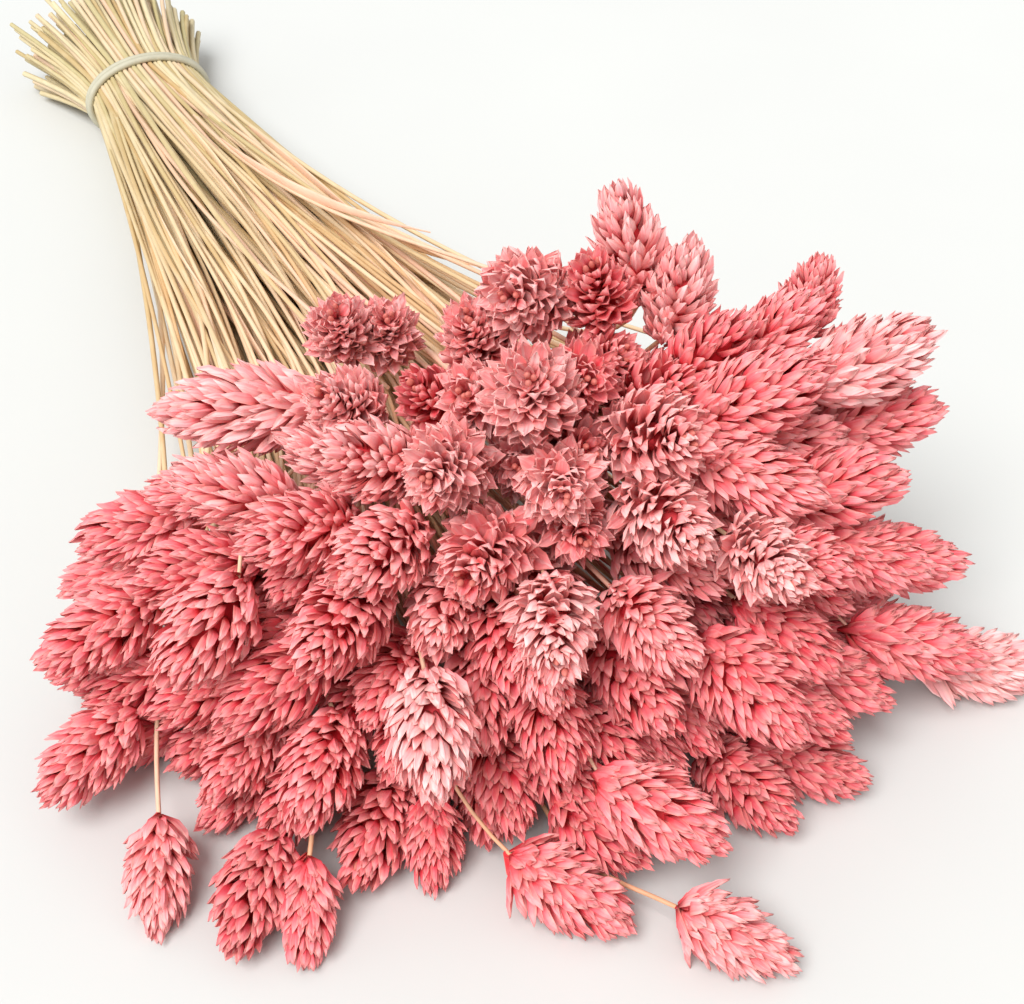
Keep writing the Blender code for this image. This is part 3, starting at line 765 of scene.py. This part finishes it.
def seed_head_tree():
    """Grows a seed head on every point: a core, and scales on a golden-angle spiral with their tips on its outline."""
    inputs = {
        "Scale": "NodeSocketObject",
        "Core": "NodeSocketObject",
        "Typical length": "NodeSocketFloat",
        "Scale length": "NodeSocketFloat",
        "Scale width": "NodeSocketFloat",
        "Raggedness": "NodeSocketFloat",
        "Scales": "NodeSocketInt",
        "Buds": "NodeSocketInt",
        "Seed": "NodeSocketInt",
        "Material": "NodeSocketMaterial",
    }
    group, tree, given = start_shape("Grow seed heads", inputs)

    def named(label, kind="FLOAT"):
        return tree.add("GeometryNodeInputNamedAttribute", {"data_type": kind}, {"Name": label})

    def vector(x, y, z):
        return tree.add("ShaderNodeCombineXYZ", {}, {"X": x, "Y": y, "Z": z})

    def spread(low, high, stream):
        sockets = {2: low, 3: high, "Seed": given["Seed"] + stream}
        return tree.add("FunctionNodeRandomValue", {"data_type": "FLOAT"}, sockets, 1)

    def store(geometry, label, value):
        sockets = {"Geometry": geometry, "Name": label, "Value": value}
        return tree.add("GeometryNodeStoreNamedAttribute", {"data_type": "FLOAT"}, sockets)

    def copies(amount):
        node = tree.nodes.new("GeometryNodeDuplicateElements")
        node.domain = "POINT"
        tree.links.new(given["Geometry"].socket, node.inputs["Geometry"])
        tree.links.new(amount.socket, node.inputs["Amount"])
        return Wire(tree, node.outputs["Geometry"]), Wire(tree, node.outputs["Duplicate Index"])

    turn = named("turn", "QUATERNION")
    length, radius, openness, rosette = (named(label) for label in ("length", "radius", "openness", "rosette"))
    growth = (length / given["Typical length"]) ** 0.5

    # A scale's place is found from its tip, which stands on the outline of the head, and from how far it tilts.
    points, number = copies(given["Scales"])
    share = (number + 0.5) / given["Scales"]
    height = FIRST_HEIGHT + (1 - FIRST_HEIGHT) * share
    outline = ((height**OUTLINE_TAPER) * math.pi).sine().clamp() ** OUTLINE_FULLNESS
    angle = number * GOLDEN_ANGLE + spread(-TURN_SPREAD, TURN_SPREAD, 1)
    closed_tilt = ((1 - share) ** CLOSED_CURVE - CLOSED_LEAN) * openness
    rosette_tilt = ROSETTE_TOP_TILT + ROSETTE_FOOT_TILT * (1 - share) ** ROSETTE_CURVE
    tilt = closed_tilt * (1 - rosette) + rosette_tilt * rosette + spread(-TILT_SPREAD, TILT_SPREAD, 2)
    scale_length = given["Scale length"] * (1 - TOP_SHORTENING * share**3) * spread(*LENGTH_SPREAD, 3) * growth
    scale_length = scale_length * (FOOT_SCALE_LENGTH + (1 - FOOT_SCALE_LENGTH) * (share * FOOT_RISE).clamp())
    foot_out = radius * outline - scale_length * tilt.sine()
    foot_out = tree.add("ShaderNodeMath", {"operation": "MAXIMUM"}, {0: foot_out, 1: LEAST_OUT})
    foot_up = length * height - scale_length * tilt.cosine()
    ragged = spread(given["Raggedness"] * -1.0, given["Raggedness"], 11) * (share * RAGGED_RISE).clamp()
    foot_out, foot_up = foot_out + tilt.sine() * ragged, foot_up + tilt.cosine() * ragged
    foot = vector(foot_out * angle.cosine(), foot_out * angle.sine(), foot_up)
    foot = tree.add("FunctionNodeRotateVector", {}, {"Vector": foot, "Rotation": turn})
    points = tree.add("GeometryNodeSetPosition", {}, {"Geometry": points, "Offset": foot})

    aim = vector(tilt.sine() * angle.cosine(), tilt.sine() * angle.sine(), tilt.cosine())
    outward = vector(angle.cosine(), angle.sine(), 0.0)
    axes_of_scale = {"Primary Axis": aim, "Secondary Axis": outward}
    facing = tree.add("FunctionNodeAxesToRotation", {"primary_axis": "Z", "secondary_axis": "X"}, axes_of_scale)
    rolled = vector(0.0, 0.0, spread(-ROLL_SPREAD, ROLL_SPREAD, 4))
    roll = tree.add("FunctionNodeEulerToRotation", {}, {"Euler": rolled})
    facing = tree.add("FunctionNodeRotateRotation", {"rotation_space": "LOCAL"}, {0: facing, 1: roll})
    facing = tree.add("FunctionNodeRotateRotation", {"rotation_space": "GLOBAL"}, {0: facing, 1: turn})
    wide = given["Scale width"] * (1 - TOP_NARROWING * share**2) * spread(*WIDTH_SPREAD, 5) * growth
    wide = wide * (1 + ROSETTE_WIDENING * rosette)
    points = store(points, "tint", spread(0.0, 1.0, 6))
    scale_object = tree.add("GeometryNodeObjectInfo", {}, {"Object": given["Scale"]}, "Geometry")
    scale_size = vector(wide * spread(*FOLD_SPREAD, 7), wide, scale_length)
    sockets = {"Points": points, "Instance": scale_object, "Rotation": facing, "Scale": scale_size}
    scales = tree.add("GeometryNodeInstanceOnPoints", {}, sockets)

    core_object = tree.add("GeometryNodeObjectInfo", {}, {"Object": given["Core"]}, "Geometry")
    slim = CORE_SLIMNESS - ROSETTE_CORE_LESS * rosette
    core_size = vector(radius * slim, radius * slim, length * (slim + CORE_LONGER))
    sockets = {"Points": given["Geometry"], "Instance": core_object, "Rotation": turn, "Scale": core_size}
    cores = tree.add("GeometryNodeInstanceOnPoints", {}, sockets)

    buds, number = copies(given["Buds"])
    angle = number * BUD_TURN + spread(0.0, BUD_TURN_SPREAD, 8)
    aside = radius * spread(*BUD_ASIDE, 9)
    bud_height = length * (ROSETTE_BUD_RISE * rosette + spread(*BUD_HEIGHT, 10))
    place = vector(aside * angle.cosine(), aside * angle.sine(), bud_height)
    place = tree.add("FunctionNodeRotateVector", {}, {"Vector": place, "Rotation": turn})
    buds = tree.add("GeometryNodeSetPosition", {}, {"Geometry": buds, "Offset": place})
    buds = store(buds, "bud", 1.0)
    bud_width = given["Scale width"] * BUD_WIDTH
    bud_size = vector(bud_width, bud_width, given["Scale width"] * BUD_LENGTH)
    sockets = {"Points": buds, "Instance": core_object, "Rotation": turn, "Scale": bud_size}
    buds = tree.add("GeometryNodeInstanceOnPoints", {}, sockets)

    together = tree.nodes.new("GeometryNodeJoinGeometry")
    for part in (buds, cores, scales):
        tree.links.new(part.socket, together.inputs[0])
    finish_shape(tree, Wire(tree, together.outputs[0]), given["Material"])
    return group


def scale_material():
    """Dyed paper with painted shade at the hidden foot of each scale, faded and dry at its tip and margins, and ribbed
    with fibres.
    """
    material, tree = start_material("dyed_scales")
    along, edge = tree.attribute("along"), tree.attribute("edge")
    tint, head_tint = tree.attribute("tint"), tree.attribute("head_tint")
    place = tree.add("ShaderNodeTexCoord", {}, {}, "Object")
    mottle = tree.add("ShaderNodeTexNoise", {}, {"Vector": place, "Scale": MOTTLE_FINENESS, "Detail": 3.0})
    fibre_place = tree.add("ShaderNodeCombineXYZ", {}, {"X": edge * 3.2, "Y": along * 0.9, "Z": tint * 60.0})
    fibre = tree.add("ShaderNodeTexNoise", {}, {"Vector": fibre_place, "Scale": 1.0, "Detail": 2.0})
    # The head's value holds painted light and shade as well as its own tone. It sets how pale the dye is.
    paleness_and_painted_light = (head_tint + (tint - 0.5) * 0.25).clamp()
    dye = tree.add("ShaderNodeValToRGB", {"stops": DYE_TONES}, {"Fac": paleness_and_painted_light})
    # Painted shade: the dye is darkened at the foot of each scale, where it hides under the scales above, and on the
    # core.
    painted_foot_shade = tree.colour_mix("MULTIPLY", 1.0, dye, PAINTED_FOOT_SHADE)
    faded = tree.colour_mix("MIX", 0.6, dye, FADED_PINK)
    colour = tree.colour_mix("MIX", ((along - 0.05) * 2.0).clamp(), painted_foot_shade, dye)
    fading = ((along * 1.3 - 0.55) * 1.3 + edge * 0.3 + (mottle - 0.5) * 0.8).clamp()
    colour = tree.colour_mix("MIX", fading * (0.62 + 0.33 * head_tint), colour, faded)
    margin = (edge**3 * 1.2 + along**6 * 0.8 + (mottle - 0.6) * 0.8).clamp()
    colour = tree.colour_mix("MIX", margin * 0.4, colour, DRY_MARGIN)
    colour = tree.colour_mix("MULTIPLY", (fibre * 4.5 - 1.9).clamp() * 0.7, colour, FIBRE_SHADE)
    colour = tree.colour_mix("MIX", tree.attribute("bud") * 0.65, colour, BUD_BROWN)
    bump = tree.add("ShaderNodeBump", {}, {"Strength": 0.6, "Distance": 0.4 * MM, "Height": fibre + mottle * 0.4})
    return finish_material(material, tree, Base_Color=colour, Roughness=0.62 + mottle * 0.2, Normal=bump)


def head_turns():
    """A quaternion (w, x, y, z) for each head that stands it along its axis, at a random turn about it."""
    turns = []
    for axis in axes:
        upright = Vector(axis).to_track_quat("Z", "Y")
        turns.append(tuple(upright @ Euler((0.0, 0.0, draw.uniform(0, 2 * math.pi))).to_quaternion()))
    return np.array(turns)


def head_points(name, picked):
    """A mesh with one point for each picked head, at its seat, with what the tree needs to know of the head."""
    mesh = bpy.data.meshes.new(name)
    mesh.from_pydata(seats[picked].tolist(), [], [])
    turn = mesh.attributes.new("turn", "QUATERNION", "POINT")
    turn.data.foreach_set("value", turns[picked].astype(np.float32).ravel())
    values = {"length": lengths, "radius": radii, "openness": openness, "rosette": rosettes, "head_tint": head_tones_and_light}
    for label, value in values.items():
        attribute = mesh.attributes.new(label, "FLOAT", "POINT")
        attribute.data.foreach_set("value", value[picked].astype(np.float32))
    return mesh


def lent_object(name, mesh):
    """An object that only lends its mesh to a tree, and is removed once the pieces are made."""
    mesh.materials.append(scale_look)
    return bpy.data.objects.new(name, mesh)


def rest_on_floor(piece):
    """Flattens whatever dips under the floor."""
    places = np.empty(3 * len(piece.data.vertices), np.float32)
    piece.data.vertices.foreach_get("co", places)
    places[2::3] = np.maximum(places[2::3], 0.0)
    piece.data.vertices.foreach_set("co", places)
    piece.data.update()


turns = head_turns()
openness = draw.uniform(*OPENNESS, len(seats))
facing_us = np.maximum(axes @ OPEN_TOWARDS, 0.0) ** ROSETTE_FOCUS
rosettes = np.clip(ROSETTE_GAIN * facing_us + draw.uniform(-ROSETTE_SPREAD, ROSETTE_SPREAD, len(seats)), 0, 1)
third_nearest = np.sort(np.linalg.norm(middles[:, None] - middles[None], axis=2), axis=1)[:, 3]
alone = np.clip((third_nearest - ALONE_FROM) / ALONE_OVER, 0, 1)
raised = np.clip(middles[:, 2] / RAISED_OVER, 0, 1)
# Painted light and shade: rosettes, lone heads and high heads are made paler, and tucked heads deeper. Only the random
# share is each head's own tone.
head_tones_and_light = OWN_PALENESS * draw.uniform(0, 1, len(seats)) + ROSETTE_PAINTED_LIGHT * rosettes
head_tones_and_light = head_tones_and_light + ALONE_PAINTED_LIGHT * alone + RAISED_PAINTED_LIGHT * raised - COMMON_DEPTH
head_tones_and_light = np.clip(head_tones_and_light - TUCKED_PAINTED_SHADE * (head_nodes == ""), 0, 1)
grow = seed_head_tree()
scale_look = scale_material()
scale, core = lent_object("scale", scale_mesh()), lent_object("core", core_mesh())
for node in sorted(set(head_nodes)):
    picked = np.nonzero(head_nodes == node)[0]
    mesh = head_points(str(node), picked)
    values = {
        "Scale": scale,
        "Core": core,
        "Typical length": TYPICAL_HEAD,
        "Scale length": SCALE_LENGTH,
        "Scale width": SCALE_WIDTH,
        "Raggedness": RAGGEDNESS,
        "Scales": SCALE_COUNT if node else TUCKED_SCALES,
        "Buds": BUD_COUNT,
        "Seed": int(node[-2:] or 0),
        "Material": scale_look,
    }
    head = shape_piece("scales_" + (node[-2:] or "tucked"), mesh, grow, values)
    rest_on_floor(head)
    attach(head, "root")
    if node:
        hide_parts(str(node))
bpy.data.objects.remove(scale)
bpy.data.objects.remove(core)


# ---- Rubber band: a pale grey, dusty band that holds the bunch together by its own stretch. It is laid round the
# straws in two turns, side by side, and is pressed flat underneath, where the bunch rests on it.

BAND_STRAND = 2.6 * MM
BAND_GAP = 0.3 * MM
BAND_TURNS = 2
BAND_WAVER = 0.2 * MM
BAND_WAVES = 3
BAND_STEPS = 96
BAND_SIDES = 12
BAND_GREY = (0.40, 0.38, 0.28, 1)
BAND_DUST = (0.56, 0.53, 0.41, 1)
DUST_FINENESS = 300.0


def rubber_material():
    """Matt rubber with a fine pale dust on it."""
    material, tree = start_material("rubber")
    place = tree.add("ShaderNodeTexCoord", {}, {}, "Object")
    dust = tree.add("ShaderNodeTexNoise", {}, {"Vector": place, "Scale": DUST_FINENESS, "Detail": 4.0})
    colour = tree.colour_mix("MIX", dust.clamp(), BAND_GREY, BAND_DUST)
    bump = tree.add("ShaderNodeBump", {}, {"Strength": 0.2, "Distance": 0.2 * MM, "Height": dust})
    return finish_material(material, tree, Base_Color=colour, Roughness=0.5 + dust * 0.2, Normal=bump)


band_lines = []
angle = np.linspace(0, 2 * math.pi, BAND_STEPS, endpoint=False)
for turn_number in range(BAND_TURNS):
    wide = WAIST_HALF_WIDTH + BAND_GAP + BAND_STRAND / 2
    tall = WAIST_HALF_HEIGHT + BAND_GAP + BAND_STRAND / 2
    beside = turn_number * BAND_STRAND + BAND_WAVER * np.sin(BAND_WAVES * angle + turn_number)
    band_lines.append(np.stack([wide * np.cos(angle), beside, WAIST_HEIGHT + tall * np.sin(angle)], 1))
band_width = np.full((BAND_TURNS, BAND_STEPS), BAND_STRAND / 2)
mesh = line_mesh("band", np.array(band_lines), {"width": band_width}, cyclic=True)
band = shape_piece("band", mesh, sweep, {"Sides": BAND_SIDES, "Flatness": 1.0, "Material": rubber_material()})
rest_on_floor(band)
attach(band, "root")
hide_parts("rubber_band")


# ---- Floor and light: a plain white table top with nothing else on it, in a white room. A wide soft lamp hangs
# over it, in front of the bunch and to its left, and the walls all round fill the shadows.

FLOOR_HALF = 12.0
FLOOR_GREY = (0.61, 0.615, 0.60, 1)
FLOOR_WHITE = (0.64, 0.65, 0.63, 1)
WALLS_WHITE = (1.0, 1.0, 1.0, 1.0)
WALLS_STRENGTH = 0.7
LIGHT_FROM = Vector((-0.58, -0.38, 1.0))
LIGHT_STRENGTH = 3.4
LIGHT_SPREAD = math.radians(35)


def floor_material():
    """Matt white paint with hardly any tone in it."""
    material, tree = start_material("floor")
    place = tree.add("ShaderNodeTexCoord", {}, {}, "Object")
    faint = tree.add("ShaderNodeTexNoise", {}, {"Vector": place, "Scale": 8.0, "Detail": 2.0})
    colour = tree.colour_mix("MIX", faint.clamp(), FLOOR_GREY, FLOOR_WHITE)
    return finish_material(material, tree, Base_Color=colour, Roughness=0.6)


floor_mesh = bpy.data.meshes.new("floor")
corners = [(-1, -1), (1, -1), (1, 1), (-1, 1)]
floor_mesh.from_pydata([(x * FLOOR_HALF, y * FLOOR_HALF, 0.0) for x, y in corners], [], [(0, 1, 2, 3)])
floor_mesh.materials.append(floor_material())
floor = bpy.data.objects.new("floor", floor_mesh)
bpy.context.scene.collection.objects.link(floor)

walls = bpy.data.worlds.new("walls")
walls.use_nodes = True
walls.node_tree.nodes["Background"].inputs["Color"].default_value = WALLS_WHITE
walls.node_tree.nodes["Background"].inputs["Strength"].default_value = WALLS_STRENGTH
bpy.context.scene.world = walls

lamp = bpy.data.lights.new("lamp", "SUN")
lamp.energy = LIGHT_STRENGTH
lamp.angle = LIGHT_SPREAD
lamp_object = bpy.data.objects.new("lamp", lamp)
lamp_object.location = LIGHT_FROM
lamp_object.rotation_euler = (-LIGHT_FROM).to_track_quat("-Z", "Y").to_euler()
bpy.context.scene.collection.objects.link(lamp_object)
bpy.context.scene.view_settings.view_transform = "Standard"
